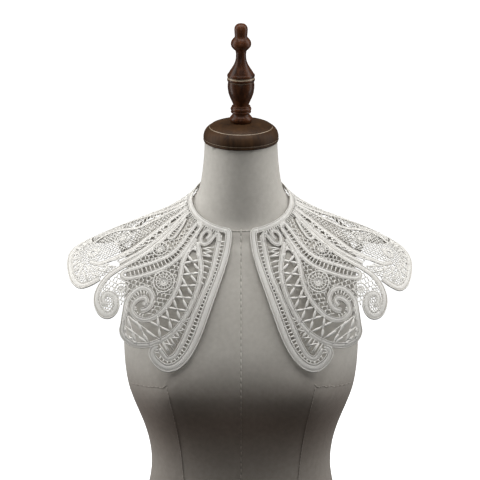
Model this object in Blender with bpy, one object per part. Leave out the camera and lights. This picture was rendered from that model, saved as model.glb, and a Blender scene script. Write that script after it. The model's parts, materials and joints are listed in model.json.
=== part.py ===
"""Lace cape collar lying on a limbless dress form.

The collar is one flat, lobed piece of tape lace that has been laid round a neck. Every cloth wall here is
cut in the collar's own measures, an angle round the neckline from the centre front and a reach outwards from
it, and is then draped: the table SECTIONS says which way the cloth runs and how steeply it falls, section by
section round the neck. The dress form is a linen covered torso on a wooden base board, with a turned neck cap
and finial. Metres, +Z up, the form faces -Y, and the origin is the centre of the base board's underside.
"""

import math

import bmesh
import bpy
import numpy as np
from mathutils import Matrix, Vector

# Dress form
BOARD_HEIGHT = 0.012
BOARD_INSET = 0.006
SEAT_GAP = 0.0003
FORM_COLUMNS = 48
FORM_LEVELS = 36
BUST_SIDE, BUST_HEIGHT, BUST_SWELL = 0.094, 0.293, 0.018
BUST_WIDTH, BUST_DEPTH = 0.036, 0.042
NECK_TOP = (0.0, -0.0135, 0.6070)
NECK_LEAN = math.radians(12.0)

# Collar
CLOTH_WALL = 0.0012
SEAM_GAP = 0.0003
NECK_TAPE_WIDTH = 0.0072
SHEET_STEP = 0.004
SHEET_REACH = 0.216
GRID_ANGLE, GRID_REACH = 6.0, 0.012
NECK_CENTRE_Y, NECK_CENTRE_Z = -0.0035, 0.5300
NECK_HALF_WIDTH, NECK_HALF_DEPTH = 0.0635, 0.0615
NECK_TILT = math.radians(33.0)
NECK_DEGREE, SPREAD_A_DEGREE = 0.0011, 0.0155
LEFT_DROOP, DROOP_ANGLE, DROOP_SPREAD = 17.0, 78.0, 22.0

# Rings of the torso, bottom to top. Each is a superellipse, its ends raised at the back by the tilt.
RING_COLUMNS = ("height", "centre_y", "half_width", "front", "back", "tilt_deg", "squareness")
TORSO_RINGS = (
    (0.0123, 0.004, 0.1500, 0.1080, 0.1120, 0.0, 2.10),
    (0.0500, 0.004, 0.1480, 0.1060, 0.1120, 0.0, 2.10),
    (0.0900, 0.002, 0.1390, 0.0980, 0.1020, 0.0, 2.10),
    (0.1300, 0.000, 0.1250, 0.0870, 0.0870, 0.0, 2.10),
    (0.1700, -0.002, 0.1170, 0.0800, 0.0760, 0.0, 2.15),
    (0.2050, -0.003, 0.1195, 0.0830, 0.0780, 0.0, 2.20),
    (0.2350, -0.003, 0.1280, 0.0890, 0.0860, 0.0, 2.25),
    (0.2620, -0.003, 0.1390, 0.0960, 0.0930, 0.0, 2.30),
    (0.2900, -0.003, 0.1480, 0.1040, 0.0980, 0.0, 2.35),
    (0.3300, -0.002, 0.1520, 0.1050, 0.0955, 0.0, 2.35),
    (0.3700, 0.000, 0.1520, 0.0990, 0.0930, 1.0, 2.35),
    (0.4100, 0.002, 0.1520, 0.0895, 0.0915, 2.0, 2.28),
    (0.4410, 0.002, 0.1515, 0.0785, 0.0885, 4.0, 2.15),
    (0.4640, 0.001, 0.1490, 0.0700, 0.0830, 8.0, 2.04),
    (0.4810, 0.000, 0.1385, 0.0645, 0.0770, 12.0, 1.98),
    (0.4940, 0.000, 0.1180, 0.0606, 0.0722, 17.0, 1.95),
    (0.5040, -0.001, 0.0970, 0.0590, 0.0690, 22.0, 1.95),
    (0.5120, -0.002, 0.0805, 0.0585, 0.0655, 26.0, 1.97),
    (0.5200, -0.003, 0.0675, 0.0570, 0.0615, 29.0, 2.00),
    (0.5300, -0.0035, 0.0595, 0.0545, 0.0575, 30.0, 2.00),
    (0.5440, -0.005, 0.0545, 0.0515, 0.0540, 25.0, 2.00),
    (0.5660, -0.008, 0.0505, 0.0485, 0.0490, 17.0, 2.00),
    (0.5920, -0.011, 0.0480, 0.0470, 0.0470, 10.0, 2.00),
    (0.6070, -0.0135, 0.0475, 0.0465, 0.0465, 12.0, 2.00),
)

# How the cloth runs: heading (0 is straight forward, 90 sideways, 180 back) and fall below level, in
# degrees, at the neckline, on the shoulder, at the middle and at the hem.
SECTION_REACHES = (0.0, 0.05, 0.12, 0.20)
SECTION_COLUMNS = (
    "neck_angle", "neck_heading", "neck_fall", "shoulder_heading", "shoulder_fall",
    "middle_heading", "middle_fall", "hem_heading", "hem_fall",
)
SECTIONS = (
    (8, 16, 66, 15, 67, 18, 74, 18, 77),
    (24, 43, 66, 38, 60, 44, 67, 54, 74),
    (36, 59, 61, 49, 51, 57, 59, 68, 66),
    (48, 74, 55, 59, 41, 66, 47, 74, 53),
    (60, 87, 49, 70, 31, 76, 35, 82, 40),
    (72, 99, 42, 83, 24, 88, 27, 92, 32),
    (84, 111, 36, 97, 19, 99, 22, 101, 27),
    (96, 123, 34, 111, 20, 112, 24, 112, 30),
    (108, 136, 34, 127, 26, 126, 35, 124, 42),
    (120, 148, 38, 142, 35, 140, 45, 138, 52),
    (135, 161, 44, 158, 46, 157, 57, 155, 64),
    (150, 171, 50, 170, 57, 170, 68, 168, 74),
    (165, 176, 56, 176, 66, 176, 76, 175, 80),
    (180, 180, 59, 180, 68, 180, 78, 180, 82),
)

# Edges of the flat lace as (neck angle in degrees, reach in metres). A run is smooth between its ends, and
# two runs meet at a sharp corner or notch.
NECK_REACH = 0.0075
FRONT_EDGE = ((9.2, NECK_REACH), (9.5, 0.025), (10.0, 0.046), (11.5, 0.082), (13.5, 0.122), (16.0, 0.158),
              (19.5, 0.181), (24.0, 0.197), (28.5, 0.202), (32.5, 0.196), (35.0, 0.183))
BORDER_SEAM = ((27.0, NECK_REACH), (23.8, 0.025), (21.8, 0.046), (20.6, 0.082), (20.9, 0.122),
               (22.5, 0.148), (26.5, 0.160), (31.0, 0.168), (35.0, 0.183))
GREAT_LOBE = ((35.0, 0.183), (37.0, 0.1895), (40.5, 0.193), (44.0, 0.191), (46.5, 0.183), (47.8, 0.174),
              (49.8, 0.167))
SCROLL_LOBE = ((49.8, 0.167), (50.3, 0.176), (51.8, 0.184), (54.5, 0.1855), (57.0, 0.178), (59.0, 0.169),
               (60.5, 0.160), (62.3, 0.154))
SHOULDER_SEAM = ((66.5, NECK_REACH), (65.5, 0.040), (64.0, 0.090), (62.8, 0.130), (62.3, 0.154))
WING_LOBE = ((62.3, 0.154), (62.8, 0.168), (64.5, 0.182), (68.5, 0.188), (73.0, 0.188), (78.0, 0.186),
             (83.0, 0.182), (87.5, 0.175), (90.5, 0.164), (92.5, 0.152))
BACK_SEAM = ((88.0, NECK_REACH), (90.0, 0.060), (91.5, 0.110), (92.5, 0.152))
SMALL_BACK_LOBE = ((92.5, 0.152), (94.0, 0.164), (97.5, 0.171), (102.0, 0.170), (105.5, 0.161),
                   (107.0, 0.152))
SIDE_BACK_LOBE = ((107.0, 0.152), (108.5, 0.166), (114.0, 0.182), (121.0, 0.188), (129.0, 0.187),
                  (135.0, 0.178), (138.0, 0.164))
CENTRE_BACK_LOBE = ((138.0, 0.164), (142.0, 0.180), (151.0, 0.192), (162.0, 0.194), (173.0, 0.186),
                    (180.0, 0.172))

# Turned wood, as (height along the axis, radius).
CAP_PROFILE = ((0.0, 0.0482), (0.0026, 0.0490), (0.0034, 0.0484), (0.0042, 0.0490), (0.0090, 0.0478),
               (0.0135, 0.0448), (0.0162, 0.0418), (0.0172, 0.0408), (0.0200, 0.0330), (0.0222, 0.0240),
               (0.0234, 0.0140))
FINIAL_PROFILE = (
    (0.0, 0.0128), (0.0039, 0.0148), (0.0078, 0.0132), (0.0107, 0.0107), (0.0135, 0.0133), (0.0153, 0.0126),
    (0.0176, 0.0136), (0.0211, 0.0122), (0.0227, 0.0100), (0.0320, 0.0139), (0.0383, 0.0162),
    (0.0448, 0.0173), (0.0527, 0.0169), (0.0560, 0.0180), (0.0575, 0.0172), (0.0595, 0.0178),
    (0.0626, 0.0162), (0.0702, 0.0120), (0.0754, 0.0092), (0.0804, 0.0073), (0.0878, 0.0065),
    (0.0958, 0.0073), (0.0977, 0.0093), (0.1014, 0.0122), (0.1053, 0.0131), (0.1099, 0.0120),
    (0.1139, 0.0086), (0.1152, 0.0080), (0.1207, 0.0084), (0.1252, 0.0086), (0.1290, 0.0080),
    (0.1318, 0.0060), (0.1335, 0.0025),
)
TURNED_SEGMENTS = 24


def clear_scene():
    for item in list(bpy.data.objects):
        bpy.data.objects.remove(item, do_unlink=True)


def material(name, colour, roughness, metallic=0.0):
    made = bpy.data.materials.new(name)
    made.use_nodes = True
    shader = made.node_tree.nodes["Principled BSDF"]
    shader.inputs["Base Color"].default_value = (*colour, 1.0)
    shader.inputs["Roughness"].default_value = roughness
    shader.inputs["Metallic"].default_value = metallic
    return made


def add_object(name, bm, finish, smooth=True):
    mesh = bpy.data.meshes.new(name)
    bm.to_mesh(mesh)
    bm.free()
    if smooth:
        mesh.shade_smooth()
        mesh.set_sharp_from_angle(angle=math.radians(40))
    mesh.materials.append(finish)
    item = bpy.data.objects.new(name, mesh)
    bpy.context.collection.objects.link(item)
    return item


def smooth_rows(x, xs, ys):
    """A curve through the rows of ys, which stand at xs, read at each x."""
    xs, ys, x = np.asarray(xs, float), np.asarray(ys, float), np.asarray(x, float)
    steps = np.diff(xs)[:, None]
    slopes = np.diff(ys, axis=0) / steps
    tangents = np.vstack([slopes[:1], (slopes[1:] + slopes[:-1]) / 2, slopes[-1:]])
    i = np.clip(np.searchsorted(xs, x) - 1, 0, len(xs) - 2)
    step = steps[i]
    t = (x[:, None] - xs[i][:, None]) / step
    return (
        (2 * t**3 - 3 * t**2 + 1) * ys[i] + (t**3 - 2 * t**2 + t) * step * tangents[i]
        + (3 * t**2 - 2 * t**3) * ys[i + 1] + (t**3 - t**2) * step * tangents[i + 1]
    )


# ---- dress form ----

def power(value, exponent):
    return np.sign(value) * np.abs(value) ** exponent


def torso_ring(level):
    """One closed ring of the torso, at a level counted in rows of TORSO_RINGS."""
    row = smooth_rows([level], range(len(TORSO_RINGS)), TORSO_RINGS)[0]
    ring = dict(zip(RING_COLUMNS, row))
    turn = np.linspace(0, 2 * math.pi, FORM_COLUMNS, endpoint=False)
    depth = np.where(np.sin(turn) < 0, ring["front"], ring["back"])
    along = depth * power(np.sin(turn), 2 / ring["squareness"])
    tilt = math.radians(ring["tilt_deg"])
    x = ring["half_width"] * power(np.cos(turn), 2 / ring["squareness"])
    y = ring["centre_y"] + along * math.cos(tilt)
    z = ring["height"] + along * math.sin(tilt)
    height = np.exp(-((z - BUST_HEIGHT) / BUST_DEPTH) ** 2)
    sides = np.exp(-((x - BUST_SIDE) / BUST_WIDTH) ** 2) + np.exp(-((x + BUST_SIDE) / BUST_WIDTH) ** 2)
    y -= BUST_SWELL * height * sides * np.sqrt(np.clip(-np.sin(turn), 0, 1))
    return np.stack([x, y, z], axis=1)


def lofted(rings):
    """A closed body through rings of points, bottom to top."""
    bm = bmesh.new()
    loops = []
    for ring in rings:
        verts = [bm.verts.new(point) for point in ring]
        loops.append([bm.edges.new((verts[i - 1], verts[i])) for i in range(len(verts))])
    for low, high in zip(loops, loops[1:]):
        bmesh.ops.bridge_loops(bm, edges=low + high)
    for loop in (loops[0], loops[-1]):
        bmesh.ops.contextual_create(bm, geom=loop)
    bmesh.ops.recalc_face_normals(bm, faces=bm.faces)
    return bm


def build_base_board(finish):
    ring = torso_ring(0)
    centre = ring.mean(axis=0)
    reach = np.abs(ring - centre).max(axis=0)
    flat = centre[:2] + (ring[:, :2] - centre[:2]) * (1 - BOARD_INSET / reach[:2])
    heights = (0.0, BOARD_HEIGHT)
    rings = [np.column_stack([flat, np.full(len(flat), height)]) for height in heights]
    add_object("base_board", lofted(rings), finish)


def build_torso(finish):
    levels = np.linspace(0, len(TORSO_RINGS) - 1, FORM_LEVELS)
    add_object("form_torso", lofted([torso_ring(level) for level in levels]), finish)


def turned(name, profile, start, finish):
    """A turned piece whose profile starts at a distance along the leaning neck's axis."""
    bm = bmesh.new()
    heights = [height for height, _ in profile]
    points = [(0.0, heights[0])] + [(radius, height) for height, radius in profile] + [(0.0, heights[-1])]
    verts = [bm.verts.new((radius, 0.0, height)) for radius, height in points]
    edges = [bm.edges.new(pair) for pair in zip(verts, verts[1:])]
    bmesh.ops.spin(bm, geom=verts + edges, cent=(0, 0, 0), axis=(0, 0, 1), angle=2 * math.pi,
                   steps=TURNED_SEGMENTS, use_merge=True)
    bmesh.ops.remove_doubles(bm, verts=bm.verts, dist=1e-6)
    bmesh.ops.recalc_face_normals(bm, faces=bm.faces)
    place = (
        Matrix.Translation(Vector(NECK_TOP)) @ Matrix.Rotation(NECK_LEAN, 4, "X")
        @ Matrix.Translation(Vector((0, 0, start)))
    )
    bmesh.ops.transform(bm, matrix=place, verts=bm.verts)
    add_object(name, bm, finish)


# ---- collar ----

def neckline(angles):
    turn = np.radians(angles)
    along = -NECK_HALF_DEPTH * np.cos(turn)
    return np.stack([
        NECK_HALF_WIDTH * np.sin(turn),
        NECK_CENTRE_Y + along * math.cos(NECK_TILT),
        NECK_CENTRE_Z + along * math.sin(NECK_TILT),
    ], axis=1)


def half_sheet(droop):
    """Points of one half of the draped cloth, one row a degree from the centre front, one column a step."""
    angles = np.arange(0.0, 181.0)
    rows = smooth_rows(angles, [row[0] for row in SECTIONS], [row[1:] for row in SECTIONS])
    rows[:, 7] += droop * np.exp(-((angles - DROOP_ANGLE) / DROOP_SPREAD) ** 2)
    middles = np.arange(SHEET_STEP / 2, SHEET_REACH, SHEET_STEP)
    stations = (*SECTION_REACHES, 0.30)
    heading = np.radians(smooth_rows(middles, stations, np.vstack([rows[:, 0::2].T, rows[:, 6]])))
    fall = np.radians(smooth_rows(middles, stations, np.vstack([rows[:, 1::2].T, rows[:, 7]])))
    steps = SHEET_STEP * np.stack([
        np.sin(heading) * np.cos(fall), -np.cos(heading) * np.cos(fall), -np.sin(fall),
    ], axis=-1)
    return np.concatenate([neckline(angles)[None], steps]).cumsum(axis=0).transpose(1, 0, 2)


def whole_sheet():
    """The draped cloth from neck angle 0 round the wearer's left (+X), the back and the right to 360."""
    left, right = half_sheet(LEFT_DROOP), half_sheet(0.0)
    right = right[::-1] * (-1, 1, 1)
    return np.concatenate([left[:-1], (left[-1:] + right[:1]) / 2, right[1:]])


def drape(sheet, angles, reaches):
    """The places on the draped cloth of points given in the flat, by neck angle and reach."""
    u, v = np.asarray(angles), np.asarray(reaches) / SHEET_STEP
    i = np.clip(u.astype(int), 0, len(sheet) - 2)
    k = np.clip(v.astype(int), 0, sheet.shape[1] - 2)
    s, t = (u - i)[:, None], (v - k)[:, None]
    near = sheet[i, k] * (1 - s) + sheet[i + 1, k] * s
    far = sheet[i, k + 1] * (1 - s) + sheet[i + 1, k + 1] * s
    return near * (1 - t) + far * t


def run_points(rows, spacing=2):
    """A smooth run through an edge's rows, with a few points between each two."""
    rows = np.array(rows)
    places = np.linspace(0, len(rows) - 1, (len(rows) - 1) * spacing + 1)
    return smooth_rows(places, range(len(rows)), rows)


def moved_in(seam, side):
    """A seam's points moved to one side to leave the seam gap, round the neck."""
    points = np.array(seam)
    metres_a_degree = NECK_DEGREE + points[:, 1] * SPREAD_A_DEGREE
    return points + np.column_stack([side * SEAM_GAP / metres_a_degree, np.zeros(len(points))])


def outline(front, hem, back):
    """A panel's outline from the neck: down its front seam, along its hem and up its back seam."""
    runs = [run_points(front)] + [run_points(lobe)[1:] for lobe in hem] + [run_points(back)[-2::-1]]
    return np.concatenate(runs)


def mirrored(points):
    return np.column_stack([360.0 - points[:, 0], points[:, 1]])[::-1]


def build_panel(name, points, sheet, finish):
    """A wall of cloth: its flat outline, cut up on a grid, draped, and thickened outwards."""
    bm = bmesh.new()
    flat = [(angle * 0.001, reach, 0.0) for angle, reach in points]
    bm.faces.new([bm.verts.new(point) for point in flat])
    low, high = points.min(axis=0), points.max(axis=0)
    cuts = [(Vector((a * 0.001, 0, 0)), Vector((1, 0, 0)))
            for a in np.arange(math.ceil(low[0] / GRID_ANGLE), high[0] / GRID_ANGLE) * GRID_ANGLE]
    cuts += [(Vector((0, r, 0)), Vector((0, 1, 0)))
             for r in np.arange(math.ceil(low[1] / GRID_REACH), high[1] / GRID_REACH) * GRID_REACH]
    for place, normal in cuts:
        everything = list(bm.verts) + list(bm.edges) + list(bm.faces)
        bmesh.ops.bisect_plane(bm, geom=everything, dist=1e-6, plane_co=place, plane_no=normal)
    bmesh.ops.triangulate(bm, faces=bm.faces)
    verts = list(bm.verts)
    places = drape(sheet, [v.co.x * 1000 for v in verts], [v.co.y for v in verts])
    for vert, place in zip(verts, places):
        vert.co = place
    bm.normal_update()
    outward = sum(face.normal.dot(face.calc_center_median() - Vector((0, 0, 0.40))) for face in bm.faces)
    if outward < 0:
        bmesh.ops.reverse_faces(bm, faces=bm.faces)
    item = add_object(name, bm, finish)
    wall = item.modifiers.new("wall", "SOLIDIFY")
    wall.thickness = CLOTH_WALL
    wall.offset = 1.0
    wall.use_even_offset = True


def build_collar(lace, tape):
    sheet = whole_sheet()
    first, last = FRONT_EDGE[0][0], 360 - FRONT_EDGE[0][0]
    strip = ((first, 0.0), (last, 0.0), (last, NECK_TAPE_WIDTH), (first, NECK_TAPE_WIDTH))
    build_panel("neck_tape", np.array(strip), sheet, tape)
    pieces = (
        ("front_border", FRONT_EDGE, (), moved_in(BORDER_SEAM, -1)),
        ("lace_front", moved_in(BORDER_SEAM, 1), (GREAT_LOBE, SCROLL_LOBE), moved_in(SHOULDER_SEAM, -1)),
        ("lace_shoulder", moved_in(SHOULDER_SEAM, 1), (WING_LOBE,), moved_in(BACK_SEAM, -1)),
    )
    for name, front, hem, back in pieces:
        points = outline(front, hem, back)
        build_panel(name + "_left", points, sheet, lace)
        build_panel(name + "_right", mirrored(points), sheet, lace)
    lobes = (SMALL_BACK_LOBE, SIDE_BACK_LOBE, CENTRE_BACK_LOBE)
    half = np.concatenate([run_points(moved_in(BACK_SEAM, 1))] + [run_points(lobe)[1:] for lobe in lobes])
    build_panel("lace_back", np.concatenate([half, mirrored(half)[1:]]), sheet, lace)


def main():
    clear_scene()
    linen = material("linen", (0.40, 0.37, 0.32), 0.85)
    wood = material("turned_wood", (0.05, 0.018, 0.009), 0.30)
    board = material("board_wood", (0.32, 0.20, 0.11), 0.55)
    lace = material("lace", (0.82, 0.79, 0.72), 0.80)
    tape = material("neck_tape", (0.80, 0.77, 0.70), 0.80)
    build_base_board(board)
    build_torso(linen)
    cap_height = CAP_PROFILE[-1][0]
    turned("neck_cap", CAP_PROFILE, SEAT_GAP, wood)
    turned("finial", FINIAL_PROFILE, cap_height + 2 * SEAT_GAP, wood)
    build_collar(lace, tape)


main()
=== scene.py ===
"""Looks of a tape lace cape collar on a limbless dress form.

The lace is laid out in the collar's own flat measures, an angle round the neckline in degrees and a
reach out from it in millimetres, and then draped over the form: woven tapes with corded edges, ladders,
leaf bars, spider wheels and scrolls, joined by thread bars. Angles run from the centre front round the
wearer's left.
"""

import json
import math
import random

import bmesh
import bpy
import numpy as np
from mathutils import Matrix, Vector
from mathutils.bvhtree import BVHTree

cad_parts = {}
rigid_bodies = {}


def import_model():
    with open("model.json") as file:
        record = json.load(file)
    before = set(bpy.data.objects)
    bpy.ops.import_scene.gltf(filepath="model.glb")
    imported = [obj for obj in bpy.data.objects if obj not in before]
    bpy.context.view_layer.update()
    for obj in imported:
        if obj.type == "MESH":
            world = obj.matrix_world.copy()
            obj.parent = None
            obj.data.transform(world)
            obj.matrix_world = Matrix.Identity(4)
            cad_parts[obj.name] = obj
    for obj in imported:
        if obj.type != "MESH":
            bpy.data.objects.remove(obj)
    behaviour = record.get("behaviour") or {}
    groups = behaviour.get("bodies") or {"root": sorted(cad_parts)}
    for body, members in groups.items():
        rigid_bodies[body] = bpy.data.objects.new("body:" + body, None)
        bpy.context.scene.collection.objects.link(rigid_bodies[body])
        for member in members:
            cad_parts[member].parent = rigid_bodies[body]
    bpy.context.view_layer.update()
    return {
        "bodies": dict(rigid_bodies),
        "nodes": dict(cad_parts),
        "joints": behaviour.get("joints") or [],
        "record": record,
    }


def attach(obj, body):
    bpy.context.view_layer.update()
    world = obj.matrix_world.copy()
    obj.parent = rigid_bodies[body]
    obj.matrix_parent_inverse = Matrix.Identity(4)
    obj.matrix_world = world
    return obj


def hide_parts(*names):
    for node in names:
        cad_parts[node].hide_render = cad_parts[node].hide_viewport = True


MM = 0.001

# ---- how the collar's cloth hangs ----

NECK_CENTRE_Y, NECK_CENTRE_Z = -0.0035, 0.5300
NECK_HALF_WIDTH, NECK_HALF_DEPTH = 0.0635, 0.0615
NECK_TILT = math.radians(33.0)
SHEET_STEP, SHEET_REACH = 0.004, 0.216
LEFT_DROOP, DROOP_ANGLE, DROOP_SPREAD = 17.0, 78.0, 22.0
SECTION_REACHES = (0.0, 0.05, 0.12, 0.20)
# neck angle | heading and fall at the neck | on the shoulder | at the middle | at the hem
SECTIONS = (
    (8, 16, 66, 15, 67, 18, 74, 18, 77),
    (24, 43, 66, 38, 60, 44, 67, 54, 74),
    (36, 59, 61, 49, 51, 57, 59, 68, 66),
    (48, 74, 55, 59, 41, 66, 47, 74, 53),
    (60, 87, 49, 70, 31, 76, 35, 82, 40),
    (72, 99, 42, 83, 24, 88, 27, 92, 32),
    (84, 111, 36, 97, 19, 99, 22, 101, 27),
    (96, 123, 34, 111, 20, 112, 24, 112, 30),
    (108, 136, 34, 127, 26, 126, 35, 124, 42),
    (120, 148, 38, 142, 35, 140, 45, 138, 52),
    (135, 161, 44, 158, 46, 157, 57, 155, 64),
    (150, 171, 50, 170, 57, 170, 68, 168, 74),
    (165, 176, 56, 176, 66, 176, 76, 175, 80),
    (180, 180, 59, 180, 68, 180, 78, 180, 82),
)

# ---- the lace's own sizes, in millimetres ----

TAPE_WIDTH = 7.0
EDGE_TAPE_WIDTH = 9.4
BOUNDARY_WIDTHS = ((0.0, 7.0), (0.60, 7.8), (0.74, 11.0), (0.86, 9.4), (1.0, 6.0))
BORDER_WIDTHS = ((0.0, 7.6), (0.06, 9.0), (0.22, 9.6), (0.42, 11.4), (0.86, 10.6), (1.0, 7.6))
NARROW_TAPE_WIDTH = 5.4
BAR_RADIUS = 0.8
TAPE_STEP = 2.4
# across a woven tape, -1 to 1, and the height of its face: corded edges, grooves and a domed band
TAPE_PROFILE = ((-1.0, 0.20), (-0.93, 1.10), (-0.78, 1.30), (-0.62, 0.40), (-0.46, 0.80), (0.0, 1.10),
                (0.46, 0.80), (0.62, 0.40), (0.78, 1.30), (0.93, 1.10), (1.0, 0.20))
TAPE_THICKNESS = 0.45
# colour of the painted shade in a tape's grooves and at its edges
GROOVE_SHADE = (0.58, 0.555, 0.52)
# heights in millimetres off the cloth's underside at which threads, rings and leaves lie
BAR_LIFT, CORD_LIFT, LEAF_LIFT = 0.55, 0.6, 0.9
SPOKE_LIFT, RING_LIFT, RIM_LIFT, KNOT_LIFT, NET_LIFT = 0.7, 0.9, 0.8, 1.1, 0.5
FINE_BAR, RIM_BAR = 0.9, 1.25
LEAF_HALF_HEIGHT = 0.7
# the share of a bar that a leaf fills, from its start to its end
LEAF_FROM, LEAF_TO, LATTICE_CLEAR = 0.14, 0.86, 0.12
SMALL_MESH = 1200
SHORTEST_ROD, SHORTEST_LEAF = 1e-5, 1e-4
THREAD_SIDES, SEAM_SIDES = 5, 8


def smooth_rows(x, xs, ys):
    """A smooth curve through the rows of ys, which stand at xs, read at each x."""
    xs, ys, x = np.asarray(xs, float), np.asarray(ys, float), np.asarray(x, float)
    steps = np.diff(xs)[:, None]
    slopes = np.diff(ys, axis=0) / steps
    tangents = np.vstack([slopes[:1], (slopes[1:] + slopes[:-1]) / 2, slopes[-1:]])
    i = np.clip(np.searchsorted(xs, x) - 1, 0, len(xs) - 2)
    step = steps[i]
    t = (x[:, None] - xs[i][:, None]) / step
    return (
        (2 * t**3 - 3 * t**2 + 1) * ys[i] + (t**3 - 2 * t**2 + t) * step * tangents[i]
        + (3 * t**2 - 2 * t**3) * ys[i + 1] + (t**3 - t**2) * step * tangents[i + 1]
    )


def neckline(angles):
    """World points of the neckline, a tilted oval."""
    turn = np.radians(angles)
    along = -NECK_HALF_DEPTH * np.cos(turn)
    return np.stack([
        NECK_HALF_WIDTH * np.sin(turn),
        NECK_CENTRE_Y + along * math.cos(NECK_TILT),
        NECK_CENTRE_Z + along * math.sin(NECK_TILT),
    ], axis=1)


def half_sheet(droop):
    """Points of one half of the draped cloth: a row a degree from the centre front, a column a step."""
    angles = np.arange(0.0, 181.0)
    rows = smooth_rows(angles, [row[0] for row in SECTIONS], [row[1:] for row in SECTIONS])
    rows[:, 7] += droop * np.exp(-((angles - DROOP_ANGLE) / DROOP_SPREAD) ** 2)
    middles = np.arange(SHEET_STEP / 2, SHEET_REACH, SHEET_STEP)
    stations = (*SECTION_REACHES, 0.30)
    heading = np.radians(smooth_rows(middles, stations, np.vstack([rows[:, 0::2].T, rows[:, 6]])))
    fall = np.radians(smooth_rows(middles, stations, np.vstack([rows[:, 1::2].T, rows[:, 7]])))
    steps = SHEET_STEP * np.stack([
        np.sin(heading) * np.cos(fall), -np.cos(heading) * np.cos(fall), -np.sin(fall),
    ], axis=-1)
    return np.concatenate([neckline(angles)[None], steps]).cumsum(axis=0).transpose(1, 0, 2)


class Cloth:
    """The draped cloth: places, normals and the local width of a degree, all by flat measure."""

    def __init__(self):
        left, right = half_sheet(LEFT_DROOP), half_sheet(0.0)
        right = right[::-1] * (-1, 1, 1)
        self.points = np.concatenate([left[:-1], (left[-1:] + right[:1]) / 2, right[1:]])
        round_neck = np.gradient(self.points, axis=0)
        outward = np.gradient(self.points, axis=1)
        normals = np.cross(outward, round_neck)
        self.normals = normals / np.linalg.norm(normals, axis=-1, keepdims=True)
        self.widths = np.linalg.norm(round_neck, axis=-1)[..., None] / MM

    def read(self, field, flat):
        u, v = flat[:, 0], flat[:, 1] * MM / SHEET_STEP
        i = np.clip(u.astype(int), 0, len(field) - 2)
        k = np.clip(v.astype(int), 0, field.shape[1] - 2)
        s, t = (u - i)[:, None], (v - k)[:, None]
        near = field[i, k] * (1 - s) + field[i + 1, k] * s
        far = field[i, k + 1] * (1 - s) + field[i + 1, k + 1] * s
        return near * (1 - t) + far * t

    def place(self, flat, height=0.0):
        """World points of flat ones, lifted off the cloth's underside by a height in millimetres."""
        flat = np.atleast_2d(np.asarray(flat, float))
        lift = np.asarray(height, float).reshape(-1, 1) * MM
        return self.read(self.points, flat) + self.read(self.normals, flat) * lift

    def width(self, flat):
        """Millimetres a degree at flat points."""
        return self.read(self.widths, np.atleast_2d(np.asarray(flat, float)))[:, 0]


CLOTH = Cloth()


# ---- drawing on the flat cloth ----

def about(centre, dx, dy):
    """Flat points at millimetre offsets from a centre: dx round the neck, dy outwards."""
    dx, dy = np.atleast_1d(dx).astype(float), np.atleast_1d(dy).astype(float)
    reach = centre[1] + dy
    width = CLOTH.width(np.column_stack([np.full(len(reach), float(centre[0])), reach]))
    return np.column_stack([centre[0] + dx / width, reach])


def even(flat, step=TAPE_STEP):
    """The same flat path with its points a step apart, in millimetres."""
    flat = np.asarray(flat, float)
    world = CLOTH.place(flat)
    run = np.concatenate([[0], np.linalg.norm(np.diff(world, axis=0), axis=1).cumsum()]) / MM
    count = max(2, int(round(run[-1] / step)) + 1)
    at = np.linspace(0, run[-1], count)
    return np.column_stack([np.interp(at, run, flat[:, 0]), np.interp(at, run, flat[:, 1])])


def line(*controls, step=TAPE_STEP):
    """A smooth flat path through control points."""
    controls = np.array(controls, float)
    places = np.linspace(0, len(controls) - 1, (len(controls) - 1) * 14 + 1)
    return even(smooth_rows(places, range(len(controls)), controls), step)


def spiral(centre, start_radius, end_radius, start_turn, turns, step=1.6):
    """A flat spiral. Turns count from straight outwards, towards greater neck angles."""
    count = int(abs(turns) * 40) + 2
    turn = 2 * math.pi * (start_turn + np.linspace(0, turns, count))
    radius = np.linspace(start_radius, end_radius, count)
    return even(about(centre, radius * np.sin(turn), radius * np.cos(turn)), step)


def joined(*paths):
    """Flat paths run together into one smooth path."""
    rows = np.concatenate([path if k == 0 else path[1:] for k, path in enumerate(paths)])
    return even(rows)


def beside(path, distance):
    """A flat path moved sideways by millimetres: towards greater angles, where it runs outwards."""
    path = np.asarray(path, float)
    width = CLOTH.width(path)
    run = np.gradient(path, axis=0)
    run[:, 0] *= width
    run /= np.linalg.norm(run, axis=1, keepdims=True)
    return even(path + distance * np.column_stack([run[:, 1] / width, -run[:, 0]]))


def inside(polygon, points):
    """Which flat points lie inside a closed flat polygon."""
    x, y = points[:, 0][:, None], points[:, 1][:, None]
    a, b = polygon, np.roll(polygon, -1, axis=0)
    crosses = (a[:, 1] > y) != (b[:, 1] > y)
    rise = np.where(b[:, 1] == a[:, 1], 1e-9, b[:, 1] - a[:, 1])
    left_of = x < (b[:, 0] - a[:, 0]) * (y - a[:, 1]) / rise + a[:, 0]
    return (crosses & left_of).sum(axis=1) % 2 == 1


def add_rod(bm, a, b, radius, sides):
    """A round rod from one place to another, its ends run on by half its radius."""
    run = b - a
    if run.length < SHORTEST_ROD:
        return
    turn = run.to_track_quat("Z", "Y").to_matrix().to_4x4()
    place = Matrix.Translation((a + b) / 2) @ turn
    bmesh.ops.create_cone(bm, cap_ends=True, segments=sides, radius1=radius, radius2=radius,
                          depth=run.length + radius, matrix=place)


def made_piece(bm, name, *materials):
    """An object of what is worked in a bmesh, smooth and in the scene."""
    mesh = bpy.data.meshes.new(name)
    bm.to_mesh(mesh)
    bm.free()
    mesh.shade_smooth()
    for material in materials:
        mesh.materials.append(material)
    piece = bpy.data.objects.new(name, mesh)
    bpy.context.collection.objects.link(piece)
    return piece


def length_of(path):
    """The length of a flat path once draped, in millimetres."""
    return np.linalg.norm(np.diff(CLOTH.place(path), axis=0), axis=1).sum() / MM


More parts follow.
